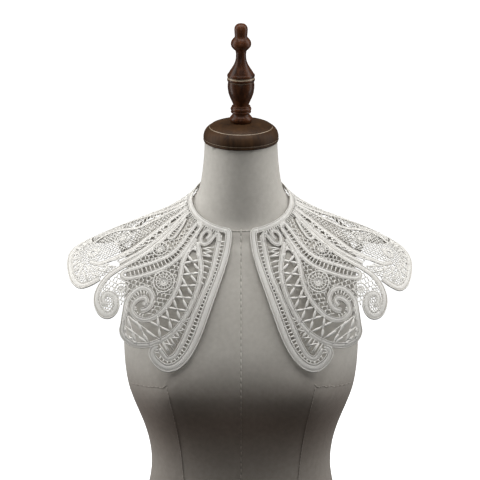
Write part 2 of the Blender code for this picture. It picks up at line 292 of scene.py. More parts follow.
class Lace:
    """One lace piece being worked: tapes, thread bars and leaves gathered in a mesh."""

    def __init__(self, mirror=False):
        self.mirror = mirror
        self.area = 0.0
        self.bm, self.uv = {}, {}
        self.worked = {"tapes": [], "threads": []}
        for kind in self.worked:
            self.begin(kind)

    def begin(self, kind):
        bm = bmesh.new()
        self.bm[kind], self.uv[kind] = bm, bm.loops.layers.uv.new("along")

    def set_aside(self, kind, least=1):
        """Puts what is worked so far aside once it is large: each tool slows with its mesh."""
        if len(self.bm[kind].verts) >= least:
            mesh = bpy.data.meshes.new("worked")
            self.bm[kind].to_mesh(mesh)
            self.bm[kind].free()
            self.worked[kind].append(mesh)
            self.begin(kind)

    def hand(self, flat):
        """Flat points on this piece's own side of the collar."""
        flat = np.array(flat, float)
        if self.mirror:
            flat[:, 0] = 360.0 - flat[:, 0]
        return flat

    def tape(self, path, width=TAPE_WIDTH, lift=0.0, step=None):
        """A woven tape with corded edges along a flat path.

        Its width is one number, or rows of a share of the run and the width there.
        """
        bm, uv = self.bm["tapes"], self.uv["tapes"]
        path = self.hand(path if step is None else even(path, step))
        world, normal = CLOTH.place(path), CLOTH.read(CLOTH.normals, path)
        run = np.gradient(world, axis=0)
        run /= np.linalg.norm(run, axis=1, keepdims=True)
        side = np.cross(run, normal)
        side /= np.linalg.norm(side, axis=1, keepdims=True)
        length = np.concatenate([[0], np.linalg.norm(np.diff(world, axis=0), axis=1).cumsum()])
        rows, columns = len(path), len(TAPE_PROFILE)
        shares, sizes = zip(*width) if isinstance(width, tuple) else ((0.0,), (width,))
        half = np.interp(length / length[-1], shares, sizes) / 2 * MM
        grid = bmesh.ops.create_grid(bm, x_segments=rows - 1, y_segments=columns - 1, size=1.0)
        made = grid["verts"]
        place = {}
        for vert in made:
            i = round((vert.co.x + 1) / 2 * (rows - 1))
            j = round((vert.co.y + 1) / 2 * (columns - 1))
            across, height = TAPE_PROFILE[j]
            vert.co = world[i] + side[i] * (across * half[i]) + normal[i] * ((height + lift) * MM)
            place[vert] = (length[i], across)
        faces = list({face for vert in made for face in vert.link_faces})
        for face in faces:
            for loop in face.loops:
                loop[uv].uv = place[loop.vert]
            face.smooth = True
        if sum(face.normal.dot(Vector(normal[0])) for face in faces[:4]) < 0:
            bmesh.ops.reverse_faces(bm, faces=faces)
        bmesh.ops.solidify(bm, geom=faces, thickness=TAPE_THICKNESS * MM)
        self.area += length[-1] * half.mean() * 2
        self.set_aside("tapes", SMALL_MESH)

    def bar(self, start, end, radius=BAR_RADIUS, lift=BAR_LIFT):
        """A thread bar between two flat points."""
        a, b = (Vector(point) for point in CLOTH.place(self.hand([start, end]), lift))
        self.rod(a, b, radius * MM)

    def rod(self, a, b, radius):
        add_rod(self.bm["threads"], a, b, radius, THREAD_SIDES)
        self.set_aside("threads", SMALL_MESH)

    def cord(self, path, radius=BAR_RADIUS, lift=CORD_LIFT):
        """A thread laid along a flat path."""
        world = [Vector(point) for point in CLOTH.place(self.hand(path), lift)]
        for a, b in zip(world, world[1:]):
            self.rod(a, b, radius * MM)

    def leaf(self, start, end, width=2.6, lift=LEAF_LIFT):
        """A woven leaf between two flat points."""
        ends = self.hand([start, end])
        a, b = (Vector(point) for point in CLOTH.place(ends, lift))
        normal = Vector(CLOTH.read(CLOTH.normals, ends[:1])[0])
        run = b - a
        if run.length < SHORTEST_LEAF:
            return
        side = run.cross(normal).normalized()
        frame = Matrix((side, run.normalized(), side.cross(run.normalized()))).transposed().to_4x4()
        size = Matrix.Diagonal((width / 2 * MM, run.length / 2, LEAF_HALF_HEIGHT * MM, 1.0))
        lying = Matrix.Rotation(math.pi / 2, 4, "X")
        bmesh.ops.create_uvsphere(self.bm["threads"], u_segments=6, v_segments=6, radius=1.0,
                                  matrix=Matrix.Translation((a + b) / 2) @ frame @ size @ lying)

    def leaf_bar(self, a, b, width):
        """A bar with a leaf along most of it."""
        self.bar(a, b)
        self.leaf(a + (b - a) * LEAF_FROM, a + (b - a) * LEAF_TO, width)

    def ladder(self, first, second, pitch=4.6, radius=BAR_RADIUS):
        """Bars straight across from one flat path to the nearest point of another."""
        one, two = even(first, pitch), even(second, 0.8)
        for point in one:
            gap = (two - point) * (CLOTH.width(point[None])[0], 1.0)
            self.bar(point, two[np.linalg.norm(gap, axis=1).argmin()], radius)

    def lattice(self, first, second, pitch=13.0, leaf=0.62, width=3.0):
        """Crossed bars with a leaf on each arm, between two flat paths that run side by side."""
        count = max(2, int(round(length_of(first) / pitch)))
        one, two = (even(path, 1.0) for path in (first, second))

        def at(path, k):
            return path[round(k / count * (len(path) - 1))]

        for k in range(count):
            for a, b in ((at(one, k), at(two, k + 1)), (at(two, k), at(one, k + 1))):
                self.bar(a, b)
                middle = (a + b) / 2
                for end in (a, b):
                    base = middle + (end - middle) * LATTICE_CLEAR
                    self.leaf(base, middle + (end - middle) * (LATTICE_CLEAR + leaf), width)

    def rungs(self, first, second, pitch=6.4, width=3.4):
        """Leaves straight across between two flat paths."""
        count = max(2, int(length_of(first) / pitch))
        one, two = (even(path, 1.0) for path in (first, second))
        for k in range(count + 1):
            a, b = (path[round(k / count * (len(path) - 1))] for path in (one, two))
            self.leaf_bar(a, b, width)

    def zigzag(self, first, second, pitch=8.0, width=3.4):
        """Leaves that run back and forth between two flat paths."""
        count = max(2, int(length_of(first) / pitch)) * 2
        sides = [even(path, 1.0) for path in (first, second)]
        ends = [sides[k % 2][round(k / count * (len(sides[k % 2]) - 1))] for k in range(count + 1)]
        for a, b in zip(ends, ends[1:]):
            self.leaf_bar(a, b, width)

    def wheel(self, centre, radius, spokes=12, rings=(0.45, 0.8), turn=0.1):
        """A spider wheel: spokes from a knot, woven round once or more, with a corded rim."""
        angles = 2 * math.pi * (turn + np.arange(spokes) / spokes)
        rim = about(centre, radius * np.sin(angles), radius * np.cos(angles))
        hub = np.array(centre, float)
        for point in rim:
            self.bar(hub, point, BAR_RADIUS * FINE_BAR, SPOKE_LIFT)
        for share in rings:
            ring = about(centre, share * radius * np.sin(angles), share * radius * np.cos(angles))
            self.cord(np.vstack([ring, ring[:1]]), BAR_RADIUS * FINE_BAR, RING_LIFT)
        fine = 2 * math.pi * np.linspace(0, 1, 37)
        rim = about(centre, radius * np.sin(fine), radius * np.cos(fine))
        self.cord(rim, BAR_RADIUS * RIM_BAR, RIM_LIFT)
        knot = about(centre, np.array([-1.6, 1.6]), np.zeros(2))
        self.leaf(knot[0], knot[1], 3.2, KNOT_LIFT)

    def net(self, polygon, cell=6.0, turn=0.0, clear=()):
        """A ground of thread bars over a closed flat field, left out round the wheels in clear.

        Its lines run one way, with short bars between them set like bricks.
        """
        polygon = np.array(polygon, float)
        centre = polygon.mean(axis=0)
        width = CLOTH.width(centre[None])[0]
        extent = max(np.ptp(polygon[:, 0]) * width, np.ptp(polygon[:, 1])) * 0.75
        count = int(extent / cell) + 1
        cosine, sine = math.cos(math.radians(turn)), math.sin(math.radians(turn))
        rand = random.Random(int(centre[0] * 10))
        lines = []
        for k in range(-count, count + 1):
            shift = k * cell + rand.uniform(-0.12, 0.12) * cell
            along = np.linspace(-extent, extent, int(extent / 0.8))
            lines.append(about(centre, along * cosine - shift * sine, along * sine + shift * cosine))
        for k in range(-count, count + 1):
            for row in range(-count, count + 1):
                offset = (0.5 if row % 2 else 0.0) + rand.uniform(-0.1, 0.1)
                x, y = (k + offset) * cell, np.linspace(row * cell, (row + 1) * cell, 8)
                lines.append(about(centre, x * cosine - y * sine, x * sine + y * cosine))
        for path in lines:
            keep = inside(polygon, path)
            for middle, radius in clear:
                gap = (path - middle) * np.column_stack([CLOTH.width(path), np.ones(len(path))])
                keep &= np.linalg.norm(gap, axis=1) > radius
            starts = np.flatnonzero(keep & ~np.concatenate([[False], keep[:-1]]))
            stops = np.flatnonzero(keep & ~np.concatenate([keep[1:], [False]]))
            for start, stop in zip(starts, stops):
                if stop > start:
                    piece = path[start:stop + 1]
                    piece = piece[::6] if len(piece) > 6 else piece[[0, -1]]
                    self.cord(piece, BAR_RADIUS * FINE_BAR, NET_LIFT)

    def finish(self, name, node, thread):
        """The finished tapes and the thread work that joins them."""
        return [self.gathered(name + "_" + kind, kind, node, thread) for kind in self.worked
                if self.worked[kind] or len(self.bm[kind].verts)]

    def gathered(self, name, kind, node, thread):
        self.set_aside(kind)
        whole = bmesh.new()
        for mesh in self.worked[kind]:
            whole.from_mesh(mesh)
            bpy.data.meshes.remove(mesh)
        piece = made_piece(whole, name, thread)
        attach(piece, "root")
        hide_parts(node)
        return piece


# ---- materials ----

def new_material(name):
    made = bpy.data.materials.new(name)
    made.use_nodes = True
    nodes = made.node_tree.nodes
    return made, nodes, made.node_tree.links, nodes["Principled BSDF"]


def set_inputs(node, **values):
    for name, value in values.items():
        node.inputs[name.replace("_", " ")].default_value = value


def noise(nodes, links, coords, scale, detail=4.0, roughness=0.55):
    made = nodes.new("ShaderNodeTexNoise")
    set_inputs(made, Scale=scale, Detail=detail, Roughness=roughness)
    links.new(coords, made.inputs["Vector"])
    return made.outputs["Fac"]


def ramp(nodes, links, value, *stops):
    made = nodes.new("ShaderNodeValToRGB")
    elements = made.color_ramp.elements
    while len(elements) < len(stops):
        elements.new(0.5)
    for element, (place, colour) in zip(elements, stops):
        element.position, element.color = place, (*colour, 1.0)
    links.new(value, made.inputs["Fac"])
    return made.outputs["Color"]


def combine(nodes, links, operation, one, two):
    made = nodes.new("ShaderNodeMath")
    made.operation = operation
    for socket, value in zip(made.inputs, (one, two)):
        if isinstance(value, (int, float)):
            socket.default_value = value
        else:
            links.new(value, socket)
    return made.outputs["Value"]


def wave(nodes, links, coords, direction, scale, distortion=0.0):
    made = nodes.new("ShaderNodeTexWave")
    made.bands_direction = direction
    set_inputs(made, Scale=scale, Distortion=distortion)
    links.new(coords, made.inputs["Vector"])
    return made.outputs["Fac"]


def bump(nodes, links, shader, height, strength, distance):
    made = nodes.new("ShaderNodeBump")
    set_inputs(made, Strength=strength, Distance=distance)
    links.new(height, made.inputs["Height"])
    links.new(made.outputs["Normal"], shader.inputs["Normal"])


def lace_material(name, colour, shade, rib_scale):
    """Ivory cotton: ribs along each tape, with painted shade in its grooves and at its edges, over fine
    thread fuzz.
    """
    made, nodes, links, shader = new_material(name)
    coords = nodes.new("ShaderNodeTexCoord")
    ribs = wave(nodes, links, coords.outputs["UV"], "X", rib_scale, 0.6)
    fuzz = noise(nodes, links, coords.outputs["Object"], 900.0, 3.0)
    age = noise(nodes, links, coords.outputs["Object"], 22.0, 3.0)
    tone = combine(nodes, links, "ADD", combine(nodes, links, "MULTIPLY", age, 0.6),
                   combine(nodes, links, "MULTIPLY", fuzz, 0.4))
    across = nodes.new("ShaderNodeSeparateXYZ")
    links.new(coords.outputs["UV"], across.inputs["Vector"])
    off_centre = combine(nodes, links, "ABSOLUTE", across.outputs["Y"], 0.0)
    clean = (1.0, 1.0, 1.0)
    # painted shade in the tape's grooves and at its very edges
    grooves = ramp(nodes, links, off_centre, (0.46, clean), (0.60, GROOVE_SHADE), (0.66, GROOVE_SHADE),
                   (0.76, clean), (0.94, clean), (1.0, GROOVE_SHADE))
    mix = nodes.new("ShaderNodeMix")
    mix.data_type, mix.blend_type = "RGBA", "MULTIPLY"
    mix.inputs["Factor"].default_value = 1.0
    links.new(ramp(nodes, links, tone, (0.30, shade), (0.66, colour)), mix.inputs["A"])
    links.new(grooves, mix.inputs["B"])
    links.new(mix.outputs["Result"], shader.inputs["Base Color"])
    height = combine(nodes, links, "ADD", combine(nodes, links, "MULTIPLY", ribs, 0.6), fuzz)
    bump(nodes, links, shader, height, 0.5, 0.0005)
    set_inputs(shader, Roughness=0.85)
    return made


# the linen's colours, darker and paler tone, on the bust and above it, and in painted shade below the
# bust
LINEN_PALE = ((0.47, 0.445, 0.40), (0.60, 0.575, 0.525))
LINEN_PAINTED_SHADE = ((0.122, 0.089, 0.067), (0.175, 0.132, 0.102))
# height in metres, and how much of the pale linen shows there, the rest painted shade, deepest under
# the bust
LINEN_SHADE_HEIGHTS = ((0.165, 0.40), (0.250, 0.03), (0.350, 1.0))


def linen_material():
    made, nodes, links, shader = new_material("greige_linen")
    coords = nodes.new("ShaderNodeTexCoord").outputs["Object"]
    across = wave(nodes, links, coords, "X", 520.0, 1.2)
    up = wave(nodes, links, coords, "Z", 520.0, 1.2)
    weave = combine(nodes, links, "ADD", across, up)
    slub = noise(nodes, links, coords, 160.0, 5.0)
    cloud = noise(nodes, links, coords, 7.0, 3.0)
    tone = combine(nodes, links, "ADD", combine(nodes, links, "MULTIPLY", cloud, 0.55),
                   combine(nodes, links, "MULTIPLY", slub, 0.45))
    upper = ramp(nodes, links, tone, *zip((0.30, 0.70), LINEN_PALE))
    # the linen in painted shade, used below the bust
    lower = ramp(nodes, links, tone, *zip((0.30, 0.70), LINEN_PAINTED_SHADE))
    height = nodes.new("ShaderNodeSeparateXYZ")
    links.new(coords, height.inputs["Vector"])
    # painted shade by height: how pale the linen is at each height
    painted_shade_ramp = nodes.new("ShaderNodeValToRGB")
    painted_shade_ramp.color_ramp.interpolation = "EASE"
    painted_shade_ramp.color_ramp.elements.new(0.5)
    for element, (place, share) in zip(painted_shade_ramp.color_ramp.elements, LINEN_SHADE_HEIGHTS):
        element.position, element.color = place, (share, share, share, 1.0)
    links.new(height.outputs["Z"], painted_shade_ramp.inputs["Fac"])
    mix = nodes.new("ShaderNodeMix")
    mix.data_type = "RGBA"
    links.new(painted_shade_ramp.outputs["Color"], mix.inputs["Factor"])
    links.new(lower, mix.inputs["A"])
    links.new(upper, mix.inputs["B"])
    links.new(mix.outputs["Result"], shader.inputs["Base Color"])
    height = combine(nodes, links, "ADD", combine(nodes, links, "MULTIPLY", weave, 0.4), slub)
    bump(nodes, links, shader, height, 0.35, 0.0004)
    set_inputs(shader, Roughness=0.88)
    shader.inputs["Sheen Weight"].default_value = 0.15
    return made


def wood_material(name, dark, light, roughness, coat):
    made, nodes, links, shader = new_material(name)
    coords = nodes.new("ShaderNodeTexCoord")
    stretch = nodes.new("ShaderNodeMapping")
    stretch.inputs["Scale"].default_value = (1.0, 1.0, 0.12)
    links.new(coords.outputs["Object"], stretch.inputs["Vector"])
    grain = noise(nodes, links, stretch.outputs["Vector"], 260.0, 6.0, 0.65)
    figure = noise(nodes, links, stretch.outputs["Vector"], 45.0, 3.0)
    tone = combine(nodes, links, "ADD", combine(nodes, links, "MULTIPLY", grain, 0.5),
                   combine(nodes, links, "MULTIPLY", figure, 0.5))
    links.new(ramp(nodes, links, tone, (0.35, dark), (0.68, light)), shader.inputs["Base Color"])
    bump(nodes, links, shader, grain, 0.08, 0.0004)
    set_inputs(shader, Roughness=roughness)
    shader.inputs["Specular IOR Level"].default_value = 0.15
    shader.inputs["Coat Weight"].default_value = coat
    shader.inputs["Coat Roughness"].default_value = 0.12
    return made


# ---- dress form ----

def merged_copy(node, name):
    """A copy of a frame node's mesh with its loose triangles joined."""
    bm = bmesh.new()
    bm.from_mesh(frame["nodes"][node].data)
    bmesh.ops.remove_doubles(bm, verts=bm.verts, dist=1e-5)
    return made_piece(bm, name)


# the subdivision draws the torso in, so its sides are let out first, below the collar
SWELL, SWELL_FULL, SWELL_NONE = 0.024, 0.38, 0.45


def build_form(linen):
    torso = merged_copy("form_torso", "linen_torso")
    for vert in torso.data.vertices:
        share = min(1.0, max(0.0, (SWELL_NONE - vert.co.z) / (SWELL_NONE - SWELL_FULL)))
        vert.co.x *= 1 + SWELL * share * share * (3 - 2 * share)
    torso.data.set_sharp_from_angle(angle=math.radians(50))
    torso.data.materials.append(linen)
    soften = torso.modifiers.new("soften", "SUBSURF")
    soften.levels = soften.render_levels = 2
    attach(torso, "root")
    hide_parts("form_torso")
    build_seams(torso, linen)


def build_base(board):
    """The board under the form, its edges eased."""
    base = merged_copy("base_board", "wood_base")
    base.data.set_sharp_from_angle(angle=math.radians(40))
    base.data.materials.append(board)
    ease = base.modifiers.new("ease", "BEVEL")
    ease.width, ease.segments, ease.limit_method = 0.0008, 2, "ANGLE"
    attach(base, "root")
    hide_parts("base_board")


SEAM_RADIUS = 0.0007


FRONT_SEAM, BACK_SEAM = (0.495, 0.03), (0.54, 0.03)
AHEAD = 0.2


def seam_paths():
    """Rough runs of each seam, ahead of or round the torso, to be laid on it."""
    paths = {
        "seam_centre_front": [(0.0, -AHEAD, z) for z in np.linspace(*FRONT_SEAM, 60)],
        "seam_centre_back": [(0.0, AHEAD, z) for z in np.linspace(*BACK_SEAM, 60)],
    }
    for side, word in ((1, "left"), (-1, "right")):
        bust = [(side * (0.094 - 0.020 * math.sin(t * 1.3)), -AHEAD, 0.300 - 0.135 * t)
                for t in np.linspace(0, 1, 30)]
        hip = [(side * (0.0747 + 0.014 * t), -AHEAD, 0.165 - 0.13 * t) for t in np.linspace(0, 1, 16)]
        paths["seam_princess_" + word] = bust + hip[1:]
        paths["seam_underarm_" + word] = [
            (side * (0.135 + 0.0135 * t), 0.15 * t - AHEAD, 0.306 - 0.014 * math.sin(t * math.pi / 2))
            for t in np.linspace(0, 1, 12)]
    paths["seam_neck"] = [
        (0.066 * math.sin(t), -0.0035 - 0.0565 * math.cos(t), 0.5255 - 0.030 * math.cos(t))
        for t in np.linspace(0, 2 * math.pi, 90)]
    return paths


def build_seams(torso, linen):
    """Raised seams of the linen cover, laid on the torso."""
    graph = bpy.context.evaluated_depsgraph_get()
    tree = BVHTree.FromObject(torso, graph)
    for name, points in seam_paths().items():
        bm = bmesh.new()
        landed = []
        for point in points:
            start = Vector(point)
            if name == "seam_neck" or name.startswith("seam_underarm"):
                place = tree.find_nearest(start)[0]
            else:
                place = tree.ray_cast(start, Vector((0, -math.copysign(1, point[1]), 0)))[0]
            if place is not None:
                landed.append(place)
        for a, b in zip(landed, landed[1:]):
            add_rod(bm, a, b, SEAM_RADIUS, SEAM_SIDES)
        piece = made_piece(bm, name, linen)
        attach(piece, "root")


NECK_TOP = (0.0, -0.0135, 0.6070)
NECK_LEAN = math.radians(12.0)
CAP_START, FINIAL_START = 0.0003, 0.0252
CAP_PROFILE = ((0.0, 0.0478), (0.0004, 0.0484), (0.0022, 0.0490), (0.0030, 0.0486), (0.0034, 0.0482),
               (0.0040, 0.0487), (0.0046, 0.0489), (0.0080, 0.0487), (0.0120, 0.0476), (0.0150, 0.0458),
               (0.0172, 0.0436), (0.0180, 0.0424), (0.0184, 0.0412), (0.0190, 0.0409), (0.0208, 0.0385),
               (0.0224, 0.0345), (0.0236, 0.0290), (0.0243, 0.0220), (0.0246, 0.0150))
# heights of the bands painted as pale highlight lines, first and last, on the cap and on the finial
CAP_HIGHLIGHT_BANDS = ((0.0040, 0.0046), (0.0184, 0.0190))
FINIAL_HIGHLIGHT_BANDS = ((0.0548, 0.0556), (0.0582, 0.0598))
# the finial's heights as first drawn, and as they were re-spaced
FINIAL_DRAWN = (0.0, 0.0251, 0.0556, 0.0622, 0.0982, 0.1177, 0.1369)
FINIAL_SPACED = (0.0, 0.0244, 0.0541, 0.0628, 0.0935, 0.1116, 0.1286)
FINIAL_PROFILE = ((0.0, 0.0122), (0.0008, 0.0132), (0.0040, 0.0148), (0.0060, 0.0145), (0.0080, 0.0132),
                  (0.0100, 0.0113), (0.0110, 0.0106), (0.0120, 0.0108), (0.0130, 0.0128),
                  (0.0140, 0.0133), (0.0150, 0.0130), (0.0156, 0.0124), (0.0162, 0.0130),
                  (0.0180, 0.0136), (0.0196, 0.0131), (0.0204, 0.0121), (0.0212, 0.0123),
                  (0.0220, 0.0121), (0.0226, 0.0108), (0.0233, 0.0099), (0.0260, 0.0109),
                  (0.0328, 0.0139), (0.0393, 0.0162), (0.0459, 0.0172), (0.0505, 0.0173),
                  (0.0540, 0.0168), (0.0548, 0.0166), (0.0556, 0.0174), (0.0570, 0.0180),
                  (0.0582, 0.0178), (0.0590, 0.0170), (0.0598, 0.0174), (0.0610, 0.0178),
                  (0.0622, 0.0176), (0.0630, 0.0166), (0.0642, 0.0161), (0.0680, 0.0142),
                  (0.0720, 0.0119), (0.0773, 0.0092), (0.0825, 0.0074), (0.0870, 0.0067),
                  (0.0930, 0.0065), (0.0970, 0.0069), (0.0990, 0.0076), (0.1005, 0.0095),
                  (0.1040, 0.0122), (0.1062, 0.0129), (0.1080, 0.0131), (0.1104, 0.0128),
                  (0.1127, 0.0119), (0.1150, 0.0103), (0.1168, 0.0086), (0.1182, 0.0080),
                  (0.1200, 0.0081), (0.1238, 0.0084), (0.1284, 0.0086), (0.1312, 0.0083),
                  (0.1335, 0.0074), (0.1352, 0.0060), (0.1363, 0.0044), (0.1369, 0.0022))


def turned(name, node, profile, start, wood, edge, highlight_bands):
    """A turned piece on the neck's own axis, with bands of painted highlight in a pale wood of their
    own.
    """
    bm = bmesh.new()
    closed = [(profile[0][0], 0.0), *profile, (profile[-1][0], 0.0)]
    verts = [bm.verts.new((radius, 0.0, height)) for height, radius in closed]
    edges = [bm.edges.new(pair) for pair in zip(verts, verts[1:])]
    bmesh.ops.spin(bm, geom=verts + edges, cent=(0, 0, 0), axis=(0, 0, 1), angle=2 * math.pi, steps=72,
                   use_merge=True)
    bmesh.ops.remove_doubles(bm, verts=bm.verts, dist=1e-6)
    bmesh.ops.recalc_face_normals(bm, faces=bm.faces)
    for face in bm.faces:
        height = face.calc_center_median().z
        # faces in the bands take the pale wood: painted highlight lines
        face.material_index = int(any(low < height < high for low, high in highlight_bands))
    place = (Matrix.Translation(Vector(NECK_TOP)) @ Matrix.Rotation(NECK_LEAN, 4, "X")
             @ Matrix.Translation(Vector((0, 0, start))))
    bmesh.ops.transform(bm, matrix=place, verts=bm.verts)
    piece = made_piece(bm, name, wood, edge)
    piece.data.set_sharp_from_angle(angle=math.radians(60))
    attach(piece, "root")
    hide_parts(node)


# ---- the lace's pattern, one half, by neck angle and reach in millimetres ----

BORDER_OUTER = ((19, 3.9), (14.4, 4.4), (13, 9), (12.4, 16), (12.3, 30), (13.2, 46), (14.8, 66),
                (16.7, 90), (18.2, 116), (19.4, 140), (20.8, 160), (22.6, 176), (25.2, 189),
                (28.4, 195.5), (31.8, 193), (34, 187), (34.4, 180), (33, 175))
BORDER_INNER = ((22.8, 12.4), (21.4, 20), (20.5, 38), (20, 54), (20.4, 72), (21.5, 88), (23.2, 118),
                (24.4, 148), (25.4, 166), (26.6, 178), (28.6, 184), (30.6, 181), (32.4, 176))
MEANDER = ((21.4, 20), (22.7, 12.6), (25.6, 10.8), (28, 16), (30, 24), (33, 29.4), (37, 28.6),
           (39.4, 22), (39, 14.8), (36, 11), (33, 12.6), (32.2, 18), (33.8, 22))
BAND_OUTER = ((39.6, 31), (33, 45), (28, 60), (26, 76), (25.4, 92), (25.9, 110), (27.2, 130),
              (29.6, 150), (33, 166), (36.4, 178), (40, 185.6), (43, 186.6), (45.4, 181.6), (46.6, 172),
              (48.2, 160), (49.9, 148), (50.4, 134), (49.2, 122.6), (46.4, 118.6), (43.4, 122),
              (42.1, 131), (42.5, 140), (44, 146))
LOBE_TURN = 12
BAND_INNER = ((42.6, 28), (42.2, 44), (40.6, 62), (37.4, 80), (35.8, 94), (35.6, 110), (36.4, 126),
              (38, 140), (40.6, 151.6), (43.6, 156), (46.2, 153.6), (47.5, 145), (47.1, 135.6),
              (45.6, 130), (44.2, 132.4), (44.3, 138.6))
LOBE_SIDE = ((43.6, 159), (46.4, 159), (47, 164), (45.6, 174), (43, 181))
FINGER_LOWER = ((45.4, 13), (44.9, 28), (44.3, 46), (44.6, 64), (46.8, 82), (50, 98), (53.4, 115),
                (56.2, 127))
FINGER_TIP = ((56.2, 127), (58, 129.4), (59.2, 126), (58.6, 119))
FINGER_UPPER = ((52.4, 12), (51.4, 28), (49.9, 46), (49.9, 64), (52.2, 80), (55.4, 98), (58.6, 119))
FINGER_ROOT = ((52.4, 12), (51, 8.6), (47.4, 8.8), (45.4, 13))
BOUNDARY = ((73, 9), (67.5, 28), (64.2, 46), (62, 62), (60.6, 84), (60.8, 104), (61.7, 124),
            (61.8, 142), (60.8, 156), (59.2, 167), (56.8, 175.6), (53.8, 179.4), (51.8, 176.6),
            (51.2, 169), (51.8, 161))
SCROLL_HOOK = ((51.8, 161), (54, 154), (56.6, 156.6), (57, 164), (55.4, 169.5), (54, 166))
PAISLEY = ((66.8, 17), (62.8, 26), (59.8, 36), (58.2, 46), (60.6, 50.5), (63.8, 45), (66.6, 34),
           (68.4, 23))
WING_SECOND = ((76, 9), (71, 28), (67.4, 46), (64.8, 62), (63, 84), (63.2, 104), (63.9, 122))
WING_MIDDLE = ((80, 9), (76.6, 34), (72.2, 54), (69.2, 74), (67, 96), (67.4, 116), (68, 130),
               (69.4, 145), (72.6, 154.5))
WING_RIDGE = ((87.2, 10), (86.4, 34), (82.6, 58), (80.4, 80), (82.4, 96), (84.6, 110), (84.8, 128),
              (82, 146))
WING_LOBE = ((62.3, 154), (62.8, 168), (64.5, 182), (68.5, 188), (73, 188), (78, 186), (83, 182),
             (87.5, 175), (90.5, 164), (92, 152))
HEM_WIDTH = 9.4
WING_HEM_INSET = HEM_WIDTH / 2
LARGE_WHEEL, MIDDLE_WHEEL, SMALL_WHEEL = ((42.9, 99), 13.6), ((57.2, 69), 9.8), ((54.4, 141.5), 8.6)
WING_WHEEL, WING_SCROLL = ((76.6, 104), 11.0), ((76.2, 147), 7.6)


def front_border(lace):
    """One tape down the front edge, round the tip and, hooked back, up again as the inner tape."""
    lace.tape(line(*BORDER_OUTER), BORDER_WIDTHS, 0.25)
    lace.tape(line(*BORDER_INNER), TAPE_WIDTH + 0.6)
    lace.ladder(beside(line(*BORDER_INNER[1:]), -TAPE_WIDTH / 2),
                beside(line(*BORDER_OUTER[3:17]), EDGE_TAPE_WIDTH / 2 - 0.8), 5.0, 0.95)


def front_field(lace):
    """Meander, leaf field, leaf-bar band with the great lobe, wheels, finger loop and scroll lobe."""
    lace.tape(line(*MEANDER, step=1.7), NARROW_TAPE_WIDTH, 0.2)
    lace.tape(line(*BAND_OUTER, step=1.9), TAPE_WIDTH, 0.15)
    lace.tape(line(*BAND_INNER, step=1.9), TAPE_WIDTH - 0.4, 0.25)
    # leaf-bar band, running on into the great lobe
    lace.lattice(line((38, 38), *BAND_OUTER[1:9]), line((41.4, 36), *BAND_INNER[1:9]), 16.5, 0.62, 4.0)
    lace.lattice(line(*BAND_OUTER[8:LOBE_TURN]), line(*LOBE_SIDE), 15.0, 0.6, 4.2)
    lace.ladder(line(*BAND_OUTER[13:16]), line(*LOBE_SIDE[1:3]), 6.0)
    # field inside the border: leaf rungs down to its point, then webs beside the great lobe
    lace.zigzag(line((24.2, 29), (22.6, 42)), line((33.6, 33), (30.2, 43)), 12.0, 2.6)
    lace.rungs(line((22.6, 42), (22.2, 60), (22.6, 80)), line((30.6, 44), (26.4, 60), (24.8, 78)), 7.0,
               3.0)
    lace.ladder(line((24.8, 126), (26, 148), (27.4, 168), (29, 181)),
                line((26.6, 132), (28.6, 150), (32, 166), (33.4, 173)), 5.4)
    lace.zigzag(line((25.6, 142), (27, 160), (28.8, 177)), line((27.6, 144), (31, 163), (33, 172)),
                10.0, 2.4)
    # ladders that hold the two spirals together
    lace.ladder(line((49.4, 143), (49.6, 134), (48.6, 126), (46.2, 121.6)),
                line((48, 144), (47.8, 134), (46.4, 127.6), (45, 126.8)), 4.6)
    lace.ladder(line((42.6, 148), (44.6, 150), (46.2, 146)),
                line((42.4, 153), (44.6, 153.4), (46, 150)), 4.0)
    # wheels in their grounds
    for centre, radius in (LARGE_WHEEL, SMALL_WHEEL, MIDDLE_WHEEL):
        lace.wheel(centre, radius, 14 if radius > 12 else 12, (0.42, 0.74) if radius > 12 else (0.55,))
    lace.net([(43.6, 36), (44.4, 52), (44, 66), (46, 84), (49.4, 100), (52.8, 116), (55.8, 129),
              (58.2, 132), (60.6, 128), (60.8, 150), (57.6, 154), (53.6, 152), (50.4, 158), (50.6, 144),
              (50.8, 132), (49.4, 120.6), (46, 116), (42.6, 119.6), (40.8, 131), (41.4, 144),
              (39.6, 146), (37.6, 126), (36.8, 110), (37, 96), (38.8, 82), (41.8, 62)], 5.8, 20.0,
             (LARGE_WHEEL, SMALL_WHEEL))
    lace.net([(53.6, 14), (63, 14), (59.6, 24), (57, 36), (56, 46), (59.6, 54), (62, 52), (60.2, 66),
              (59, 84), (59.4, 104), (60.3, 122), (59.4, 116), (56.8, 98), (53.4, 80), (51.4, 64),
              (51.6, 46), (52.8, 28)], 5.4, 60.0, (MIDDLE_WHEEL,))
    # finger loop
    lower, upper = line(*FINGER_LOWER), line(*FINGER_UPPER)
    loop = joined(lower, line(*FINGER_TIP), upper[::-1], line(*FINGER_ROOT))
    lace.tape(loop, NARROW_TAPE_WIDTH + 0.6, 0.25, 1.8)
    lace.ladder(beside(lower, 0.2 - TAPE_WIDTH / 2)[3:-3], beside(upper, TAPE_WIDTH / 2 - 0.2)[2:], 5.6,
                0.85)
    # shoulder paisley
    lace.tape(line(*PAISLEY, step=1.7), NARROW_TAPE_WIDTH * 0.8, 0.3)
    lace.ladder(line((66, 22), (62, 32), (60.2, 44)), line((67.4, 26), (65, 36), (62.2, 45)), 4.0)
    # boundary with the wing, running round the scroll lobe and hooked in
    lace.tape(joined(line(*BOUNDARY), line(*SCROLL_HOOK)), BOUNDARY_WIDTHS, 0.1, 1.8)
    lace.net([(51.6, 176), (51.6, 160), (50.4, 158), (54, 152), (60.4, 152), (59.2, 166), (56.6, 174.6),
              (54, 178)], 3.3, 30.0)
    neck_bars(lace, 25, 66)


def neck_bars(lace, start, stop):
    """Short bars from the neck tape out to the first tapes."""
    for angle in np.arange(start, stop, 2.6):
        lace.bar((angle, 6.8), (angle + 0.4, 13.5))


